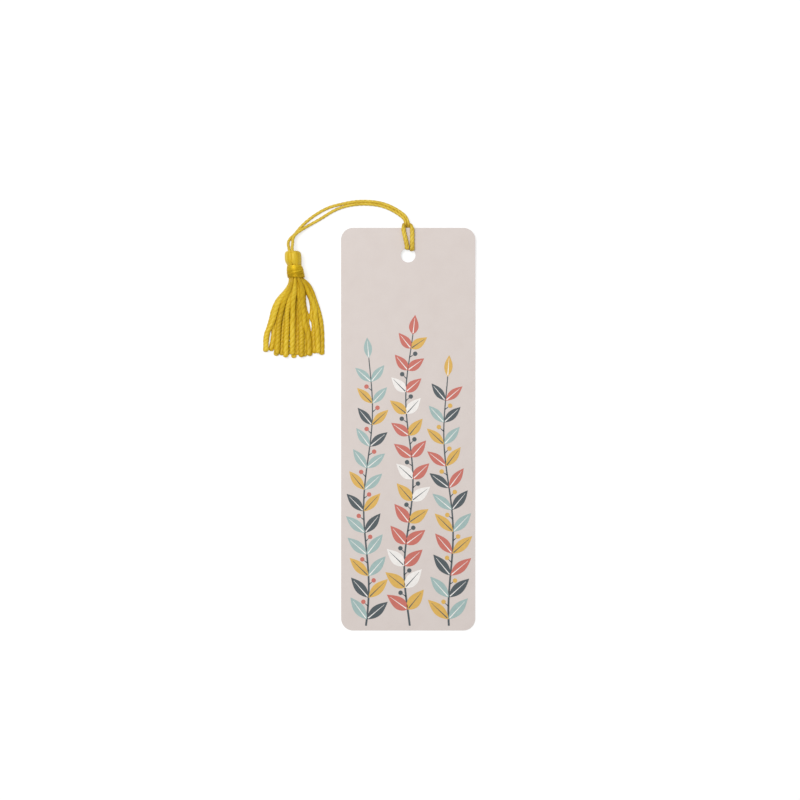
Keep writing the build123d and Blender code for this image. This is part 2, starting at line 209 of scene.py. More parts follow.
# Camera straight above the bookmark, as in the photograph
camera = bpy.data.cameras.new("camera")
camera.lens = LENS
camera.sensor_width = SENSOR
camera_stand = bpy.data.objects.new("camera", camera)
camera_height = VIEW_WIDTH * LENS / SENSOR
camera_stand.location = Vector((*VIEW_CENTRE, camera_height)) * MM
bpy.context.collection.objects.link(camera_stand)
bpy.context.scene.camera = camera_stand
bpy.context.scene.view_settings.view_transform = "Standard"

# One wide soft lamp from the upper left, and an even sky
key = bpy.data.lights.new("key_lamp", "AREA")
key.energy = KEY_POWER
key.size = KEY_SIZE
key_stand = bpy.data.objects.new("key_lamp", key)
key_stand.location = KEY_PLACE
key_stand.rotation_euler = (-Vector(KEY_PLACE)).to_track_quat("-Z", "Y").to_euler()
bpy.context.collection.objects.link(key_stand)

sky = bpy.data.worlds.new("studio_sky")
sky.use_nodes = True
sky.node_tree.nodes.clear()
even = add_node(sky.node_tree, "ShaderNodeBackground", {"Color": (1, 1, 1, 1), "Strength": SKY_LEVEL})
white = add_node(sky.node_tree, "ShaderNodeBackground", {"Color": (1, 1, 1, 1), "Strength": 1.0})
behind = add_node(
    sky.node_tree,
    "ShaderNodeMixShader",
    {0: background_rays(sky.node_tree), 1: even.outputs[0], 2: white.outputs[0]},
)
add_node(sky.node_tree, "ShaderNodeOutputWorld", {"Surface": behind.outputs[0]})
bpy.context.scene.world = sky

# Floor: white to the eye, with the shadow kept
floor_finish, tree, end = new_finish("studio_floor_paper")
paper = add_node(tree, "ShaderNodeBsdfDiffuse", {"Color": (FLOOR_GREY, FLOOR_GREY, FLOOR_GREY, 1)})
lit = add_node(tree, "ShaderNodeBsdfDiffuse", {"Color": (FLOOR_LIT, FLOOR_LIT, FLOOR_LIT, 1)})
glow = add_node(tree, "ShaderNodeEmission", {"Color": (1, 1, 1, 1), "Strength": FLOOR_GLOW})
shown = add_node(tree, "ShaderNodeAddShader", {0: lit.outputs[0], 1: glow.outputs[0]})
mixed = add_node(
    tree,
    "ShaderNodeMixShader",
    {0: background_rays(tree), 1: paper.outputs[0], 2: shown.outputs[0]},
)
tree.links.new(mixed.outputs[0], end.inputs["Surface"])
bpy.ops.object.select_all(action="DESELECT")
bpy.ops.mesh.primitive_plane_add(size=FLOOR_SIZE, location=(0, 0, -FLOOR_DROP * MM))
floor = bpy.context.object
floor.name = "studio_floor"
floor.data.materials.append(floor_finish)


# Grain of the materials
CLOUD_SIZE = 6.0  # of the faint cloudiness in the ground
FIBRE_SIZE = 0.5
FIBRE_RELIEF = 0.01  # of the fibres under the coating
FACE_TILT = 0.6  # what faces up by more than this is printed
MOTTLE_SIZE = 1.6  # of the mottle in the ink
FILAMENT_RELIEF = 0.035  # of the filaments in a ply
PAPER_IOR = 1.5
RAYON_IOR = 1.53

# Coated card: a smooth clay-coated face printed with a warm grey ground, a white fibre core on
# the cut edge and a plain white back. It gives a soft sheen and a faint cloudiness
card_finish, tree, end = new_finish("coated_card_stock")
place = add_node(tree, "ShaderNodeTexCoord")
facing = add_node(tree, "ShaderNodeSeparateXYZ", {0: place.outputs["Normal"]})
face = add_node(tree, "ShaderNodeMath", {0: facing.outputs["Z"], 1: FACE_TILT}, operation="GREATER_THAN")
cloud = add_node(
    tree,
    "ShaderNodeTexNoise",
    {"Vector": place.outputs["Object"], "Scale": 1 / (CLOUD_SIZE * MM), "Detail": 5.0, "Roughness": 0.6},
)
ground = add_node(
    tree,
    "ShaderNodeMix",
    {0: cloud.outputs["Fac"], 6: linear("#D6CAC4"), 7: linear("#DED4CF")},
    data_type="RGBA",
)
core = add_node(
    tree,
    "ShaderNodeMix",
    {0: cloud.outputs["Fac"], 6: linear("#E9E6E1"), 7: linear("#F3F1ED")},
    data_type="RGBA",
)
card_colour = add_node(
    tree,
    "ShaderNodeMix",
    {0: face.outputs[0], 6: core.outputs[2], 7: ground.outputs[2]},
    data_type="RGBA",
)
# Paper fibres are about a tenth of this length, and are drawn coarser so that they show
fibre = add_node(
    tree,
    "ShaderNodeTexNoise",
    {"Vector": place.outputs["Object"], "Scale": 1 / (FIBRE_SIZE * MM), "Detail": 3.0},
)
grain = add_node(
    tree,
    "ShaderNodeBump",
    {"Strength": 0.25, "Distance": FIBRE_RELIEF * MM, "Height": fibre.outputs["Fac"]},
)
sheen = add_node(
    tree,
    "ShaderNodeMapRange",
    {"Value": fibre.outputs["Fac"], "To Min": 0.46, "To Max": 0.6},
)
body = add_node(
    tree,
    "ShaderNodeBsdfPrincipled",
    {
        "Base Color": card_colour.outputs[2],
        "Roughness": sheen.outputs[0],
        "IOR": PAPER_IOR,
        "Normal": grain.outputs[0],
    },
)
tree.links.new(body.outputs[0], end.inputs["Surface"])

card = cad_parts["card"]
card.data.materials.clear()
card.data.materials.append(card_finish)


def offset_ink(name, colour):
    """Offset ink on coated card: a thin even film, slightly mottled, with the card's own sheen."""
    finish, tree, end = new_finish(name)
    place = add_node(tree, "ShaderNodeTexCoord")
    mottle = add_node(
        tree,
        "ShaderNodeTexNoise",
        {
            "Vector": place.outputs["Object"],
            "Scale": 1 / (MOTTLE_SIZE * MM),
            "Detail": 4.0,
            "Roughness": 0.65,
        },
    )
    strength = add_node(
        tree,
        "ShaderNodeMapRange",
        {
            "Value": mottle.outputs["Fac"],
            "From Min": 0.3,
            "From Max": 0.7,
            "To Min": 0.93,
            "To Max": 1.06,
        },
    )
    film = add_node(
        tree,
        "ShaderNodeHueSaturation",
        {"Value": strength.outputs[0], "Color": linear(colour)},
    )
    gloss = add_node(
        tree,
        "ShaderNodeMapRange",
        {"Value": mottle.outputs["Fac"], "To Min": 0.42, "To Max": 0.56},
    )
    body = add_node(
        tree,
        "ShaderNodeBsdfPrincipled",
        {"Base Color": film.outputs[0], "Roughness": gloss.outputs[0], "IOR": PAPER_IOR},
    )
    tree.links.new(body.outputs[0], end.inputs["Surface"])
    return finish


def rayon(name, colours, plies, filaments, lay, stretch, dull, gleam, lustre=0.0):
    """Satin rayon in twisted plies: bright filaments that catch the light in streaks along each
    ply, with painted shade in the grooves between plies, and a gleam drawn out across them. A
    tight smooth winding has a lustre in its own colour, drawn as part metal. The map runs round
    the strand once, and along it in millimetres, as do the lay and the stretch of a streak."""
    finish, tree, end = new_finish(name)
    chart = add_node(tree, "ShaderNodeUVMap", uv_map="strand")
    axes = add_node(tree, "ShaderNodeSeparateXYZ", {0: chart.outputs[0]})
    # Filaments slant across their ply, and are drawn coarser than real ones so that they show
    slant = add_node(
        tree,
        "ShaderNodeMath",
        {0: axes.outputs["Y"], 1: 1 / lay, 2: axes.outputs["X"]},
        operation="MULTIPLY_ADD",
    )
    around = add_node(tree, "ShaderNodeMath", {0: slant.outputs[0], 1: filaments}, operation="MULTIPLY")
    along = add_node(
        tree,
        "ShaderNodeMath",
        {0: axes.outputs["Y"], 1: 1 / stretch},
        operation="MULTIPLY",
    )
    # Each strand's own random variation in colour, with painted light and shade added to it
    tone_and_shading = add_node(tree, "ShaderNodeAttribute", attribute_name="tone_and_shading")
    # Strands of different tones are far apart in the noise, so each has its own streaks
    own = add_node(tree, "ShaderNodeMath", {0: tone_and_shading.outputs["Fac"], 1: 37.0}, operation="MULTIPLY")
    grid = add_node(
        tree,
        "ShaderNodeCombineXYZ",
        {"X": around.outputs[0], "Y": along.outputs[0], "Z": own.outputs[0]},
    )
    streak = add_node(
        tree,
        "ShaderNodeTexNoise",
        {"Vector": grid.outputs[0], "Scale": 1.0, "Detail": 3.0, "Roughness": 0.6},
    )
    # Painted shade in the grooves between plies: nought on the crest of a ply, one in the groove
    cycle = add_node(tree, "ShaderNodeMath", {0: axes.outputs["X"], 1: plies}, operation="MULTIPLY")
    groove = add_node(tree, "ShaderNodeMath", {0: cycle.outputs[0], 1: 0.5}, operation="PINGPONG")
    depth = add_node(tree, "ShaderNodeMath", {0: groove.outputs[0], 1: 2.0}, operation="MULTIPLY")
    dip = add_node(
        tree,
        "ShaderNodeMapRange",
        {"Value": depth.outputs[0], "From Min": 0.45, "From Max": 1.0, "To Min": 0.0, "To Max": 0.5},
    )
    # The groove attribute says how much of this painted shade a strand gets
    cut = add_node(tree, "ShaderNodeAttribute", attribute_name="groove")
    shade = add_node(
        tree,
        "ShaderNodeMath",
        {0: dip.outputs[0], 1: cut.outputs["Fac"]},
        operation="MULTIPLY",
    )
    level = add_node(
        tree,
        "ShaderNodeMath",
        {0: streak.outputs["Fac"], 1: shade.outputs[0]},
        operation="SUBTRACT",
    )
    level = add_node(
        tree,
        "ShaderNodeMath",
        {0: level.outputs[0], 1: tone_and_shading.outputs["Fac"]},
        operation="ADD",
    )
    colour = add_node(tree, "ShaderNodeValToRGB", {"Fac": level.outputs[0]})
    ramp = colour.color_ramp
    ramp.elements[0].position = 0.18
    ramp.elements[0].color = linear(colours[0])
    ramp.elements[1].position = 0.82
    ramp.elements[1].color = linear(colours[2])
    ramp.elements.new(0.5).color = linear(colours[1])
    relief = add_node(
        tree,
        "ShaderNodeBump",
        {"Strength": 0.6, "Distance": FILAMENT_RELIEF * MM, "Height": streak.outputs["Fac"]},
    )
    gloss = add_node(
        tree,
        "ShaderNodeMapRange",
        {"Value": streak.outputs["Fac"], "To Min": dull, "To Max": dull - 0.18},
    )
    across = add_node(tree, "ShaderNodeTangent", direction_type="UV_MAP", uv_map="strand")
    body = add_node(
        tree,
        "ShaderNodeBsdfPrincipled",
        {
            "Base Color": colour.outputs["Color"],
            "Metallic": lustre,
            "Roughness": gloss.outputs[0],
            "IOR": RAYON_IOR,
            "Specular Tint": linear("#FFE7A0"),
            "Anisotropic": gleam,
            "Tangent": across.outputs[0],
            "Sheen Weight": 0.05,
            "Sheen Roughness": 0.35,
            "Sheen Tint": linear("#F0D050"),
            "Normal": relief.outputs[0],
        },
    )
    tree.links.new(body.outputs[0], end.inputs["Surface"])
    return finish


cord_finish = rayon(
    "twisted_satin_rayon_cord",
    ("#B4922A", "#E0C040", "#F2DA68"),
    plies=CORD_PLIES,
    filaments=50.0,
    lay=CORD_LAY,
    stretch=6.0,
    dull=0.48,
    gleam=0.3,
)
yarn_finish = rayon(
    "soft_rayon_tassel_yarn",
    ("#B68E0C", "#D6B120", "#EBCC46"),
    plies=YARN_PLIES,
    filaments=60.0,
    lay=YARN_LAY,
    stretch=6.0,
    dull=0.46,
    gleam=0.4,
)
thread_finish = rayon(
    "satin_rayon_binding_thread",
    ("#8A6E0C", "#C8A516", "#E8CC3E"),
    plies=2,
    filaments=5.0,
    lay=12.0,
    stretch=6.0,
    dull=0.56,
    gleam=0.3,
    lustre=0.55,
)


# Strands of cord, yarn and thread
def spline_line(route):
    """Points read from a smooth spline whose control points are the route's places."""
    curve = bpy.data.curves.new("route", "CURVE")
    curve.dimensions = "3D"
    curve.resolution_u = 24
    spline = curve.splines.new("NURBS")
    spline.points.add(len(route) - 1)
    for control, place in zip(spline.points, route):
        control.co = (*place, 1.0)
    spline.order_u = 3
    spline.use_endpoint_u = True
    holder = bpy.data.objects.new("route", curve)
    line = bpy.data.meshes.new_from_object(holder)
    points = np.array([vertex.co[:] for vertex in line.vertices])
    bpy.data.meshes.remove(line)
    bpy.data.objects.remove(holder)
    bpy.data.curves.remove(curve)
    return points


def distances(line):
    """Distance along a line to each of its points."""
    return np.concatenate([[0.0], np.cumsum(np.linalg.norm(np.diff(line, axis=0), axis=1))])


def even_steps(line, step):
    """The same line in steps of one length."""
    along = distances(line)
    places = np.linspace(0, along[-1], max(2, round(along[-1] / step) + 1))
    return np.stack([np.interp(places, along, line[:, axis]) for axis in range(3)], axis=1)


def unit(vectors):
    """Vectors of length one."""
    return vectors / np.linalg.norm(vectors, axis=-1, keepdims=True)


def bell(offset, width):
    """One where there is no offset, and a soft fall to nought on both sides."""
    return np.exp(-((offset / width) ** 2))


def rise(values, start, span):
    """From nought to one over a span."""
    return np.clip((values - start) / span, 0, 1)


def off_floor(rings):
    """Rings pressed flat where they would dip below the surface."""
    return np.concatenate([rings[..., :2], np.maximum(rings[..., 2:], 0)], axis=-1)


def join_into(main, others):
    """Make other pieces part of one."""
    bpy.ops.object.select_all(action="DESELECT")
    for piece in (main, *others):
        piece.select_set(True)
    bpy.context.view_layer.objects.active = main
    bpy.ops.object.join()


def carry_frame(line, side):
    """Side and lift directions along a line, carried from the first point with no twist."""
    ahead = unit(np.gradient(line, axis=0))
    side = unit(np.asarray(side, float) - ahead[0] * np.dot(side, ahead[0]))
    sides = [side]
    for index in range(1, len(line)):
        chord = line[index] - line[index - 1]
        span = np.dot(chord, chord)
        turned = side - 2 / span * np.dot(chord, side) * chord
        tipped = ahead[index - 1] - 2 / span * np.dot(chord, ahead[index - 1]) * chord
        change = ahead[index] - tipped
        size = np.dot(change, change)
        if size > 1e-12:
            turned = turned - 2 / size * np.dot(change, turned) * change
        side = unit(turned)
        sides.append(side)
    sides = np.array(sides)
    return sides, np.cross(ahead, sides)


def ply_outline(plies, per_ply, ply_share):
    """Angles round a strand from the crest of a ply, and the strand's outline there."""
    angles = 2 * math.pi * np.arange(plies * per_ply) / (plies * per_ply)
    sector = 2 * math.pi / plies
    off_crest = (angles + sector / 2) % sector - sector / 2
    centre = 1 - ply_share
    outline = centre * np.cos(off_crest) + np.sqrt(ply_share**2 - (centre * np.sin(off_crest)) ** 2)
    return angles, outline


def strand_rings(line, frames, radius, turn, outline, groove=1.0, lean=0.0, wide=1.0, tall=1.0):
    """Rings of a twisted strand: its radius, the turn of its plies, how deep its grooves are, and
    how far it is pressed flat along a direction that leans from its side."""
    angles, shape = outline
    count = len(line)
    radius, turn, groove, lean, wide, tall = (
        np.broadcast_to(np.asarray(value, float), (count,))[:, None]
        for value in (radius, turn, groove, lean, wide, tall)
    )
    reach = radius * (1 - groove * (1 - shape[None, :]))
    around = angles[None, :] + turn - lean
    along_press = reach * np.cos(around) * tall
    across_press = reach * np.sin(around) * wide
    over_side = along_press * np.cos(lean) - across_press * np.sin(lean)
    over_lift = along_press * np.sin(lean) + across_press * np.cos(lean)
    sides, lifts = frames
    aside = over_side[..., None] * sides[:, None, :]
    upwards = over_lift[..., None] * lifts[:, None, :]
    return line[:, None, :] + aside + upwards


def ring_normals(rings):
    """The way the surface faces at each point of a strand's rings."""
    around = np.roll(rings, -1, axis=1) - np.roll(rings, 1, axis=1)
    return unit(np.cross(around, np.gradient(rings, axis=0)))


def strand_piece(name, strands, finish, facing=None):
    """One object of closed strands, each as rings, distances along it, its colour level with painted
    light and shade, and how much shade is painted in its grooves. Its points may be told which way
    they face."""
    places, faces, charts, tones, grooves, rounds = [], [], [], [], [], []
    for rings, along, tone_and_shading, groove in strands:
        count, sides, _ = rings.shape
        first = len(places)
        places.extend(rings.reshape(-1, 3) * MM)
        tones.extend(np.repeat(np.broadcast_to(tone_and_shading, (count,)), sides))
        grooves.extend(np.repeat(np.broadcast_to(groove, (count,)), sides))
        for ring in range(count - 1):
            here, there = first + ring * sides, first + (ring + 1) * sides
            for corner in range(sides):
                after = (corner + 1) % sides
                faces.append((here + corner, here + after, there + after, there + corner))
                rounds.append(True)
                left, right = corner / sides, (corner + 1) / sides
                charts += [left, along[ring], right, along[ring]]
                charts += [right, along[ring + 1], left, along[ring + 1]]
        for ring, order in ((0, range(sides - 1, -1, -1)), (count - 1, range(sides))):
            faces.append(tuple(first + ring * sides + corner for corner in order))
            rounds.append(False)
            for corner in order:
                charts += [corner / sides, along[ring]]
    mesh = bpy.data.meshes.new(name)
    mesh.from_pydata([tuple(place) for place in places], [], faces)
    mesh.uv_layers.new(name="strand").data.foreach_set("uv", charts)
    for label, values in (("tone_and_shading", tones), ("groove", grooves)):
        mesh.attributes.new(label, "FLOAT", "POINT").data.foreach_set("value", np.array(values))
    mesh.polygons.foreach_set("use_smooth", rounds)
    mesh.materials.append(finish)
    mesh.update()
    if facing is not None:
        mesh.normals_split_custom_set_from_vertices(facing)
    piece = bpy.data.objects.new(name, mesh)
    bpy.context.collection.objects.link(piece)
    return piece


# The cord is one length: out of the tassel along the outer strand, round the hitch and back
# along the inner strand
def pair_of_strands(rows):
    """The outer and the inner strand's places, from rows of places along the doubled cord."""
    spots = [np.array(row[:2]) for row in rows]
    headings = [unit(after - before) for before, after in zip(spots, spots[1:])]
    outer, inner = [], []
    for index, (x, y, lift, across, upwards) in enumerate(rows):
        into = headings[max(index - 1, 0)]
        out = headings[min(index, len(headings) - 1)]
        mitre = (into + out) / (1 + np.dot(into, out)) * CORD_PITCH * across / 2
        low = LYING + lift
        outer.append((x + mitre[1], TOP_EDGE + y - mitre[0], low))
        inner.append((x - mitre[1], TOP_EDGE + y + mitre[0], low + CORD_PITCH * upwards))
    return outer, inner


def hitch_side(side):
    """Places along one half of the hitch, from the throat to the corner of the bight."""
    strand_x = side * CORD_PITCH / 2
    foot_x = HITCH_FOOT_X + side * LEG_X
    fold_y = HOLE_Y + math.sqrt(HOLE_RADIUS**2 - foot_x**2) - FOLD_REACH
    return [
        (HITCH_HEAD_X + 0.92 * strand_x - THROAT_SLANT, THROAT_Y, OVER_BAR),
        (HITCH_HEAD_X + 0.9 * strand_x, BAR_Y + 0.9, OVER_BAR + 0.05),
        (HITCH_HEAD_X + 0.9 * strand_x, BAR_Y + 0.1, OVER_BAR + 0.12),
        (HITCH_HEAD_X + strand_x, TOP_EDGE + 0.1, LYING),
        (HITCH_HEAD_X + strand_x, TOP_EDGE - 1.5, LYING),
        (HITCH_FOOT_X + strand_x, fold_y + 1.3, LYING),
        (HITCH_FOOT_X + strand_x, fold_y, LYING),
        (foot_x, fold_y, FOLD_TOP + 0.14),
        (foot_x - 0.05 * side, fold_y + 1.3, FOLD_TOP + 0.14),
        (HITCH_HEAD_X + 2.9 * strand_x + 0.3, TOP_EDGE - 0.9, LEG_TOP + 0.05),
        (HITCH_HEAD_X + 2.7 * strand_x + 0.2, TOP_EDGE + 0.6, LEG_TOP + 0.1),
        (HITCH_HEAD_X + 2.2 * strand_x, BAR_Y + 0.25, 1.75),
        (HITCH_HEAD_X + 1.9 * strand_x, BAR_Y, LYING),
    ]


outer_route, inner_route = pair_of_strands(CORD_ROUTE)
cord_line = spline_line(outer_route[::-1] + hitch_side(1) + hitch_side(-1)[::-1] + inner_route)
cord_line = even_steps(cord_line, CORD_STEP)
cord_along = distances(cord_line)
cord_frames = carry_frame(cord_line, (0, 0, 1))
cord_turn = 2 * math.pi * cord_along / CORD_LAY
cord_shape = ply_outline(CORD_PLIES, per_ply=8, ply_share=PLY_SHARE)
cord_body = CORD_FULLNESS * CORD_DIAMETER / 2
cord_rings = strand_rings(cord_line, cord_frames, cord_body, cord_turn, cord_shape, groove=CORD_GROOVE)
# The card's edge presses the cord flat where it folds through the hole, and the legs of the hitch
# lie spread on the card's face
cord_x, cord_y, cord_z = cord_line.T
rim_y = HOLE_Y + HOLE_RADIUS
in_hitch = cord_x > HITCH_LEFT
at_rim = np.abs(cord_y - rim_y) < RIM_REACH
pinch = np.where(at_rim, bell(cord_z - FOLD_MIDDLE, FOLD_SPAN), 0.0)
above_card = rise(cord_z, 1.7, 0.4)
below_edge = 1 - rise(cord_y, TOP_EDGE - 0.4, 1.2)
above_rim = rise(cord_y, rim_y - 1.4, 0.6)
on_face = above_card * below_edge * above_rim * in_hitch
press = 1 + (np.outer(pinch, FOLD_PRESS) + np.outer(on_face, LEG_PRESS))
cord_rings = cord_line[:, None, :] + (cord_rings - cord_line[:, None, :]) * press[:, None, :]
cord_rings = off_floor(cord_rings)
cord_facing = ring_normals(cord_rings)
# Painted shade: the cord is drawn darker under the bar of the hitch and at the fold through the hole
shade_under_bar = bell(cord_y - BAR_Y, 0.8) * in_hitch
cord_tone_and_shade = 0.04 * np.sin(cord_along * 0.9) - 0.15 * shade_under_bar - 0.3 * pinch
half = len(cord_line) // 2


def nearest_on(first, last, spot):
    """The point of the cord, between two others, that is nearest to a spot, given flat or in space."""
    span = cord_line[first:last, : len(spot)]
    return first + int(np.argmin(np.linalg.norm(span - np.array(spot), axis=1)))


def cord_piece(name, stretches):
    """One object made of stretches of the cord, each with closed ends."""
    strands, facing = [], []
    for first, last in stretches:
        stretch = slice(first, last + 1)
        # CORD_GROOVE also sets how much shade is painted in the cord's grooves
        strands.append((cord_rings[stretch], cord_along[stretch], cord_tone_and_shade[stretch], CORD_GROOVE))
        facing.extend(cord_facing[stretch].reshape(-1, 3))
    piece = strand_piece(name, strands, cord_finish, facing)
    return piece


ends = {}
for strand, (first, last) in {"outer": (0, half), "inner": (half, len(cord_line))}.items():
    side = 1 if strand == "outer" else -1
    throat = nearest_on(first, last, (HITCH_HEAD_X + side * CORD_PITCH / 2, TWIST_Y, OVER_BAR))
    swing = nearest_on(first, last, SWING_CUT)
    eye = nearest_on(first, last, EYE_CUT)
    off_cut = np.where(cord_x < EYE_RIGHT, np.abs(cord_y - LIFT_CUT_Y), np.inf)
    lift = first + int(np.argmin(off_cut[first:last]))
    tail = first if strand == "outer" else last - 1
    ends[strand] = {"throat": throat, "swing": swing, "eye": eye, "lift": lift, "tail": tail}


def between(strand, start, finish):
    """A stretch of one strand between two of its ends, whichever comes first."""
    return sorted((ends[strand][start], ends[strand][finish]))


hitch = cord_piece("hitch_cord", [(ends["outer"]["throat"], ends["inner"]["throat"])])
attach(hitch, "card")
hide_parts("cord_hitch")

root = cord_piece("root_cord", [between(strand, "throat", "swing") for strand in ends])
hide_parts("cord_root")
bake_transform(root)

runs, eyes = {}, {}
for strand in ends:
    run = cord_piece(f"run_cord_{strand}", [between(strand, "swing", "eye")])
    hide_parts(f"cord_run_{strand}")
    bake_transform(run)
    runs[strand] = run
    eye = cord_piece(f"eye_cord_{strand}", [between(strand, "eye", "lift")])
    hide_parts(f"cord_eye_{strand}")
    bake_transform(eye)
    eyes[strand] = eye


# Tassel
def tassel_point(across, down, up):
    """A place in the tassel: across its width, down from its crown, up from its axis."""
    return (TASSEL_X + across, CROWN_Y - down, TASSEL_Z + up)


# Stopper knot: the cord's ends wound on themselves inside the head
coil_angles = np.linspace(0, 2 * math.pi * COIL_TURNS, 90)
coil = np.stack(
    [
        TASSEL_X + COIL_RADIUS * np.cos(coil_angles),
        CROWN_Y - COIL_TOP - COIL_PITCH * coil_angles / (2 * math.pi),
        TASSEL_Z + COIL_RADIUS * np.sin(coil_angles),
    ],
    axis=1,
)
coil = even_steps(coil, CORD_STEP)
coil_along = distances(coil)
coil_rings = strand_rings(
    coil,
    carry_frame(coil, (1, 0, 0)),
    COIL_STRAND,
    2 * math.pi * coil_along / CORD_LAY,
    cord_shape,
    groove=COIL_GROOVE,
)
coil_facing = ring_normals(coil_rings).reshape(-1, 3)
# CORD_GROOVE also sets how much shade is painted in the coil's grooves
coiled = strand_piece("coil", [(coil_rings, coil_along, 0.0, CORD_GROOVE)], cord_finish, coil_facing)
knot = cord_piece("knot_cord", [between(strand, "lift", "tail") for strand in ends])
join_into(knot, [coiled])
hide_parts("stopper_knot")
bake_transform(knot)

# Binding: one thread wound close round the neck
binding_edge = BINDING_FLATNESS * BINDING_THREAD / 2
binding_turns = (NECK_END - HEAD_LENGTH - 2 * binding_edge) / BINDING_PITCH
wind = np.linspace(0, 2 * math.pi * binding_turns, round(binding_turns * 72))
wind_part = wind / wind[-1]
wind_radius = BINDING_RADIUS + BINDING_SWELL * wind_part
wind_radius -= BINDING_ROUNDING * np.abs(2 * wind_part - 1) ** 4
wind_radius += 0.03 * np.sin(wind * 0.37) + 0.02 * np.sin(wind * 1.13)
binding_line = np.stack(
    [
        TASSEL_X + np.interp(wind_part, [0, 1], BINDING_LEAN) + wind_radius * np.cos(wind),
        CROWN_Y - HEAD_LENGTH - binding_edge - BINDING_PITCH * wind / (2 * math.pi),
        TASSEL_Z + wind_radius * np.sin(wind),
    ],
    axis=1,
)
binding_along = distances(binding_line)
binding_rings = strand_rings(
    binding_line,
    carry_frame(binding_line, (0, 1, 0)),
    BINDING_THREAD / 2,
    0.0,
    ply_outline(2, per_ply=8, ply_share=0.5),
    groove=0.0,
    wide=0.9,
    tall=BINDING_FLATNESS,
)
binding_rings = off_floor(binding_rings)
# Painted highlight: its first turn is lighter
binding_tone_and_highlight = 0.03 * np.sin(wind * 0.61) + 0.1 * bell(wind, 4.0)
binding_strand = (binding_rings, binding_along, binding_tone_and_highlight, 0.0)
binding = strand_piece("binding_thread", [binding_strand], thread_finish)
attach(binding, "tassel")
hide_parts("neck_binding")

# Strands: a close bundle in the neck, a fan of two layers below it
neck_cells = []
for row in range(-2, 3):
    in_row = 5 - abs(row)
    for place in range(in_row):
        cell = ((place - (in_row - 1) / 2) * YARN_PITCH, row * YARN_PITCH * math.sqrt(3) / 2)
        if math.hypot(*cell) > YARN_RADIUS:
            neck_cells.append((row, *cell))


def fan_order(cell):
    """Where a neck cell comes in the fan, from left to right."""
    return cell[1] * (1.1 if cell[0] == 0 else 1)


lower_cells = sorted((cell for cell in neck_cells if cell[0] <= 0), key=fan_order)
upper_cells = sorted((cell for cell in neck_cells if cell[0] > 0), key=fan_order)
half_hem = LOWER_TIP_PITCH * (len(lower_cells) - 1) / 2
LOWER_LEVEL = 0.62 - TASSEL_Z
UPPER_LEVEL = 1.62 - TASSEL_Z
# Below the binding, and the part of the way to the tip on the left and on the right
SPREAD = [
    (2.0, 0.0, 0.37),
    (4.8, 0.2, 0.52),
    (8.0, 0.51, 0.66),
    (12.0, 0.72, 0.84),
    (14.2, 0.78, 0.91),
    (16.5, 0.84, 0.96),
    (22.0, 0.96, 1.03),
]
# Strands that lie aside from an even fan at those places and at the tip, so that the floor shows
# between them
ASIDE = {
    1: (0, 0, 0, 0.2, 0.3, 0.2, -0.3, 0),
    2: (0, 0, 0, -0.1, -0.1, 0, 1.5, 0.2),
    3: (0, 0, 0, -0.5, -0.8, -0.6, 0.4, -0.3),
    9: (0, 0, -0.8, -1.1, -0.5, -1.2, 0.2, -0.1),
    10: (0, -0.1, 0.6, 0.3, -1.0, 0.2, -0.7, 0.1),
    12: (0, 0, 0, 0.2, 0.2, -0.2, -2.0, -0.8),
    17: (0, -0.2, -1.1, -1.4, -1.3, -1.6, 0.4, 0),
    18: (0, 0.1, 0.8, 0.7, 0.4, 0.5, 0.6, 0.7),
}
BROAD = {17: 0.4, 15: 0.2}  # strands that lie spread below the binding
BROAD_DROP = 5.0  # how far below
BROAD_SPAN = 4.0
# Course of a strand over the head, outside and inside: out from the axis, down from the crown
OUTER_COURSE = [(0.35, 1.5), (0.9, 0.7), (1.75, 0.5), (2.5, 1.0), (2.6, 2.3), (2.58, 4.2)]
INNER_COURSE = [(1.75, 1.4), (1.75, 2.9)]
OUTER_RING = 1.45  # strands further than this from the neck's axis go over the outside of the head
# Distances below the binding, what a strand measures there, and how much shade is painted in its grooves
RADIUS_THERE = ([-1, 1.5, 5, 10, 20, 30], [0.49, 0.74, 0.88, 0.97, 1.05, 1.05])
FLATNESS_THERE = ([0, 6, 15, 30], [1, 0.85, 0.68, 0.6])
GROOVE_THERE = ([1, 6, 14], [0.04, 0.12, 0.2])
SHADE_THERE = ([1, 9], [0, 0.4])
HEAD_STRAND = 1.2  # widest radius of a strand on the head
HEAD_FILL = 0.42  # radius there, as a part of its distance from the axis
HEAD_PRESS = 0.46  # how much flatter it is there
TIP_ROUNDING = 0.7
TIP_STRAY = (0.3, 0.6)  # how far tips stray, across and down
STRAND_WAVER = (0.12, 0.1)  # how far a strand wavers, across and upwards
LAY_SPREAD = 0.12  # how far the lays of strands differ, as a part of the lay
LAY_SLACK = 0.3  # and how far the lay differs along one strand
TONE_SPREAD = 0.17  # how far the tones of strands differ
TONE_WAVE = 0.06  # and how far the tone differs along one strand
HEAD_PAINTED_LIGHT = 0.05  # painted light: strands are lighter on the head
FOOT_SHADE = 0.13  # and painted shade makes them darker at the foot of the binding
EVEN = (0,) * (len(SPREAD) + 1)
yarn_shape = ply_outline(YARN_PLIES, per_ply=12, ply_share=PLY_SHARE)
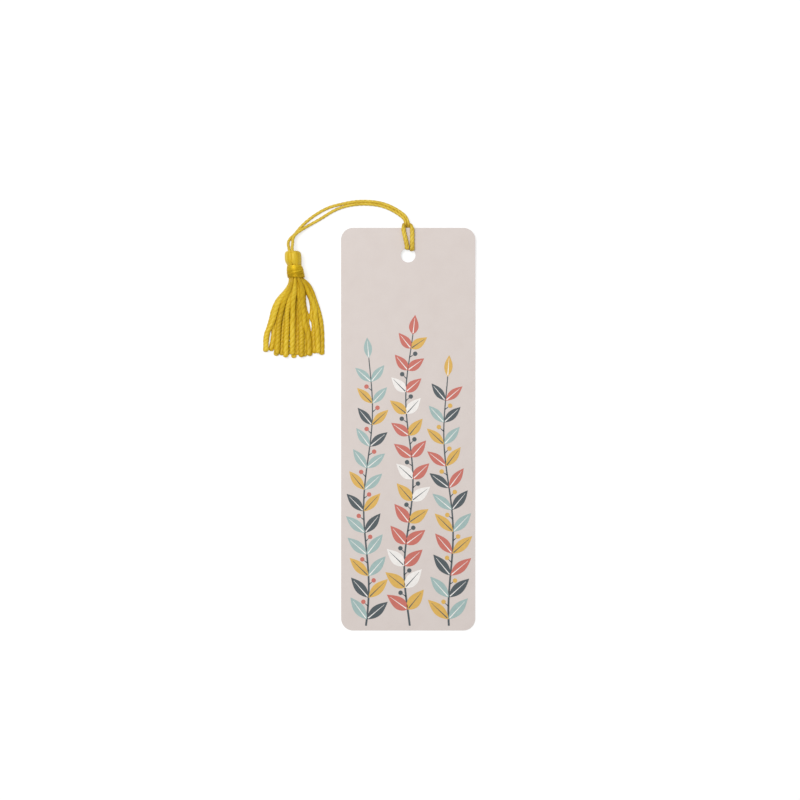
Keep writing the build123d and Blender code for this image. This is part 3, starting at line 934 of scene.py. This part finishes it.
for number, (_, neck_across, neck_up) in enumerate([*lower_cells, *upper_cells], start=1):
    lower = number <= len(lower_cells)
    cells = lower_cells if lower else upper_cells
    rank = number - 1 if lower else number - 1 - len(lower_cells)
    tip_pitch = LOWER_TIP_PITCH if lower else UPPER_TIP_PITCH
    stray = math.sin(2.4 * number)
    tip_across = (rank - (len(cells) - 1) / 2) * tip_pitch + TIP_STRAY[0] * stray
    tip_up = LOWER_LEVEL if lower else UPPER_LEVEL
    hem_rise = HEM_CURVE[tip_across > 0] * (tip_across / half_hem) ** 2
    tip_down = TIP_END - hem_rise + TIP_STRAY[1] * stray
    angle = math.atan2(neck_up, neck_across)
    outside = math.hypot(neck_across, neck_up) > OUTER_RING
    if outside:
        head_angle = angle + HEAD_TURN
        from_groove = head_angle - LOBE_GROOVE
        head_angle += math.copysign(LOBE_PART, from_groove) * bell(from_groove, LOBE_REACH)
    else:
        head_angle = angle
    route = []
    for out, down in OUTER_COURSE if outside else INNER_COURSE:
        across = out * math.cos(head_angle) + HEAD_LEAN * down
        route.append((across, down, out * math.sin(head_angle)))
    neck = neck_across + NECK_LEAN
    route.append((neck, HEAD_LENGTH + 0.2, neck_up))
    neck += NECK_SWAY
    route.append((neck, NECK_END - 0.4, neck_up))
    rightward = (tip_across / half_hem + 1) / 2
    *asides, tip_aside = ASIDE.get(number, EVEN)
    for (drop, left, right), aside in zip(SPREAD, asides):
        share = left + (right - left) * rightward
        across = neck + share * (tip_across - neck) + aside + STRAND_WAVER[0] * chance.standard_normal()
        level = neck_up + share * (tip_up - neck_up) + STRAND_WAVER[1] * chance.standard_normal()
        route.append((across, NECK_END + drop, level))
    route.append((tip_across + tip_aside, tip_down, tip_up))
    line = even_steps(spline_line([tassel_point(*spot) for spot in route]), YARN_STEP)
    along = distances(line)
    down = CROWN_Y - line[:, 1]
    # The frame is carried up from the tip, where a strand lies on its flat
    sides, lifts = (part[::-1] for part in carry_frame(line[::-1], (0, 0, 1)))
    drop = down - NECK_END
    head_part = (1 - rise(down, HEAD_LENGTH - 0.9, 1.5)) * outside
    radius = np.interp(drop, *RADIUS_THERE)
    radius = radius * (1 + BROAD.get(number, 0) * bell(drop - BROAD_DROP, BROAD_SPAN))
    off_axis = np.hypot(line[:, 0] - TASSEL_X - HEAD_LEAN * down, line[:, 2] - TASSEL_Z)
    radius = radius + head_part * (np.minimum(HEAD_STRAND, HEAD_FILL * off_axis) - radius)
    from_tip = along[-1] - along
    rounded = np.sqrt(np.clip(1 - (1 - rise(from_tip, 0, TIP_ROUNDING)) ** 2, 0.02, 1))
    flat = np.interp(drop, *FLATNESS_THERE) - HEAD_PRESS * head_part
    press = np.where(drop < 0, head_angle - math.pi / 2, 0.0)
    # The twist is slack in places
    slack = 1 + LAY_SLACK * np.sin(along * 0.27 + 2.1 * number)
    lay = YARN_LAY * (1 + LAY_SPREAD * chance.standard_normal()) * slack
    turn = 2 * math.pi * (np.cumsum(YARN_STEP / lay) + chance.random())
    groove = np.interp(drop, *GROOVE_THERE)
    tone_and_shading = TONE_SPREAD * chance.standard_normal() + TONE_WAVE * np.sin(along * 0.35 + number)
    # Painted light: strands are drawn lighter on the head
    tone_and_shading = tone_and_shading + HEAD_PAINTED_LIGHT * head_part
    # Painted shade: yarns are drawn darker where they leave the binding
    tone_and_shading = tone_and_shading - FOOT_SHADE * bell(drop - 1, 2.6)
    rings = strand_rings(
        line,
        (sides, -lifts),
        radius * rounded,
        turn,
        yarn_shape,
        groove=groove,
        lean=press,
        tall=flat,
    )
    strand = (off_floor(rings), along, tone_and_shading, np.interp(drop, *SHADE_THERE))
    yarn = strand_piece(f"yarn_{number:02d}", [strand], yarn_finish)
    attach(yarn, "tassel")
    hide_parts(f"tassel_strand_{number:02d}")

for strand, run in runs.items():
    first, last = between(strand, "swing", "eye")


# Print on the card: leafy stems that climb from the foot, in thin films of ink
INK_BASE = 0.012  # height of the films' footing over the card
INK_LAYER = 0.006  # height of one film over the next
INK_FILM = 0.02  # thickness of a film
STEM_WIDTH = 0.75
STEM_TAPER = 0.5  # part of its width that it loses on its way
RIB_WIDTH = 0.42
RIB_TAPER = 0.75
RIB_START = 0.06  # parts of its leaf's length
RIB_LENGTH = 0.78
STALK_WIDTH = 0.45
STALK_FORK = 4.9  # above a pair of leaves
BERRY_SIZE = 1.7
BERRY_ABOVE = 6.5  # the same pair
BERRY_ASIDE = 1.9  # from the stem
LEAF_SHRINK = 0.25  # leaves at the top of a stem are this much smaller
TOP_LEAF = 0.75  # size of the leaf on the tip, as a part of the others'
WELL_ABOVE = 10.0  # height from which the print is laid on the card
inks = {
    "teal": "#9FB9B6",
    "coral": "#C86B5E",
    "mustard": "#DDB052",
    "charcoal": "#3F4A4F",
    "chalk": "#F4F0EC",
}
printed = {name: [] for name in inks}


def flat_grid(name, columns, rows):
    """A flat grid one unit each way about the origin."""
    bpy.ops.object.select_all(action="DESELECT")
    bpy.ops.mesh.primitive_grid_add(x_subdivisions=columns, y_subdivisions=rows, size=1)
    grid = bpy.context.object
    grid.name = name
    return grid


def shape_leaf(name, belly):
    """A flat leaf one unit long and one unit wide, broadest at a part of its length."""
    leaf = flat_grid(name, 4, 12)
    power = math.log(0.5) / math.log(belly)
    for vertex in leaf.data.vertices:
        run = min(1.0, max(0.0, vertex.co.y + 0.5))
        vertex.co.x *= math.sin(math.pi * run**power)
        vertex.co.y = run
    bpy.ops.object.mode_set(mode="EDIT")
    bpy.ops.mesh.select_all(action="SELECT")
    bpy.ops.mesh.remove_doubles(threshold=0.0005)
    bpy.ops.object.mode_set(mode="OBJECT")
    return leaf


def shape_rib():
    """A thin ribbon one unit long that narrows to its end."""
    rib = flat_grid("rib", 1, 12)
    for vertex in rib.data.vertices:
        run = vertex.co.y + 0.5
        vertex.co.x *= 1 - RIB_TAPER * run
        vertex.co.y = run
    return rib


def shape_berry():
    """A flat round berry one unit across."""
    bpy.ops.object.select_all(action="DESELECT")
    bpy.ops.mesh.primitive_circle_add(vertices=22, radius=0.5, fill_type="TRIFAN")
    berry = bpy.context.object
    berry.name = "berry"
    return berry


slim_leaf = shape_leaf("slim_leaf", 0.46)
broad_leaf = shape_leaf("broad_leaf", 0.4)
rib = shape_rib()
berry = shape_berry()


def stamp(shape, ink, spot, heading, length, width, layer):
    """Print a copy of a shape at a spot of the card, pointing along a heading."""
    copy = bpy.data.objects.new("print", shape.data.copy())
    bpy.context.collection.objects.link(copy)
    turn = Matrix.Rotation(heading - math.pi / 2, 4, "Z")
    size = Matrix.Diagonal((width, length, 1, 1))
    copy.data.transform(Matrix.Translation((*spot, 0)) @ turn @ size)
    printed[ink].append((copy, layer))


def print_leaf(shape, ink, rib_ink, spot, heading, length, width, layer):
    """Print a leaf and its midrib."""
    stamp(shape, ink, spot, heading, length, width, layer)
    start = Vector(spot) + Vector((math.cos(heading), math.sin(heading))) * length * RIB_START
    stamp(rib, rib_ink, start, heading, length * RIB_LENGTH, RIB_WIDTH, layer + 1)


def climb(stem, part):
    """A place on a stem and the way it heads there."""
    (foot_x, foot_y), (tip_x, tip_y), sway, waves, phase = stem
    swing = 2 * math.pi * waves * part + phase
    x = foot_x + (tip_x - foot_x) * part + sway * (math.sin(swing) - math.sin(phase) * (1 - part))
    y = foot_y + (tip_y - foot_y) * part
    slope = (tip_x - foot_x) + sway * (2 * math.pi * waves * math.cos(swing) + math.sin(phase))
    return (x, y), math.atan2(tip_y - foot_y, slope)


def print_stem(stem, width, ink, layer):
    """Print a stem as a ribbon that follows its climb."""
    ribbon = flat_grid("print", 1, 60)
    for vertex in ribbon.data.vertices:
        part = vertex.co.y + 0.5
        (x, y), heading = climb(stem, part)
        reach = vertex.co.x * width * (1 - STEM_TAPER * part)
        vertex.co = (x + math.sin(heading) * reach, y - math.cos(heading) * reach, 0)
    printed[ink].append((ribbon, layer))


# Foot, tip, sway, waves and phase of each stem, then its leaf, the inks of its leaf pairs, leaf
# length and width, the number of pairs, their spread, and the ink of its berries
left_inks = ("teal", "charcoal", "mustard", "teal")
middle_inks = ("coral", "mustard", "chalk", "coral")
right_inks = ("mustard", "teal", "charcoal", "coral")
left_stem = ((-16.0, -74.4), (-14.4, 27.0), 1.3, 1.5, 0.4)
middle_stem = ((0.6, -74.4), (0.8, 36.0), 1.5, 1.7, 2.6)
right_stem = ((15.4, -74.4), (14.2, 20.0), 1.3, 1.4, 4.4)
stems = [
    (left_stem, slim_leaf, left_inks, 10.4, 4.1, 12, 0.76, "coral"),
    (middle_stem, broad_leaf, middle_inks, 9.8, 4.8, 13, 0.82, "charcoal"),
    (right_stem, slim_leaf, right_inks, 10.8, 4.2, 11, 0.78, "mustard"),
]
for number, (stem, leaf, leaf_inks, length, width, count, spread, berry_ink) in enumerate(stems):
    layer = 1 + 3 * number
    print_stem(stem, STEM_WIDTH, "charcoal", layer)
    for index in range(count):
        part = (index + 0.3 + 0.45 * (number % 2)) / (count + 0.4)
        spot, heading = climb(stem, part)
        size = 1 - LEAF_SHRINK * part
        for side in (1, -1):
            ink = leaf_inks[(index + (side > 0)) % len(leaf_inks)]
            rib_ink = "chalk" if ink in ("charcoal", "coral", "teal") else "charcoal"
            aim = heading - side * spread
            print_leaf(leaf, ink, rib_ink, spot, aim, length * size, width * size, layer + 1)
        if index == count - 1:
            break
        # A berry on a short stalk, left and right by turns
        per_mm = 1 / (stem[1][1] - stem[0][1])
        fork = Vector(climb(stem, part + STALK_FORK * per_mm)[0])
        above, heading = climb(stem, part + BERRY_ABOVE * per_mm)
        outwards = Vector((math.sin(heading), -math.cos(heading))) * (1 if index % 2 else -1)
        berry_spot = Vector(above) + outwards * BERRY_ASIDE
        stalk = berry_spot - fork
        stalk_heading = math.atan2(stalk.y, stalk.x)
        stamp(rib, "charcoal", fork, stalk_heading, stalk.length, STALK_WIDTH, layer)
        stamp(berry, berry_ink, berry_spot, 0.0, BERRY_SIZE, BERRY_SIZE, layer + 1)
    spot, heading = climb(stem, 1.0)
    size = TOP_LEAF
    print_leaf(leaf, leaf_inks[0], "chalk", spot, heading, length * size, width * size, layer + 1)

for name, copies in printed.items():
    for copy, layer in copies:
        for vertex in copy.data.vertices:
            above = Vector((vertex.co.x, vertex.co.y, WELL_ABOVE)) * MM
            met, spot, _, _ = card.ray_cast(above, Vector((0, 0, -1)))
            vertex.co = spot + Vector((0, 0, (INK_BASE + INK_LAYER * layer) * MM)) if met else above
    film, *others = [copy for copy, _ in copies]
    join_into(film, others)
    film.name = f"print_{name}"
    film.data.name = film.name
    bpy.ops.object.mode_set(mode="EDIT")
    bpy.ops.mesh.select_all(action="SELECT")
    bpy.ops.mesh.normals_make_consistent(inside=False)
    bpy.ops.object.mode_set(mode="OBJECT")
    thick = film.modifiers.new("film", "SOLIDIFY")
    thick.thickness = INK_FILM * MM
    thick.offset = -1
    bpy.ops.object.modifier_apply(modifier=thick.name)
    film.data.materials.clear()
    film.data.materials.append(offset_ink(f"offset_ink_{name}", inks[name]))
    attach(film, "card")
for shape in (slim_leaf, broad_leaf, rib, berry):
    bpy.data.objects.remove(shape)
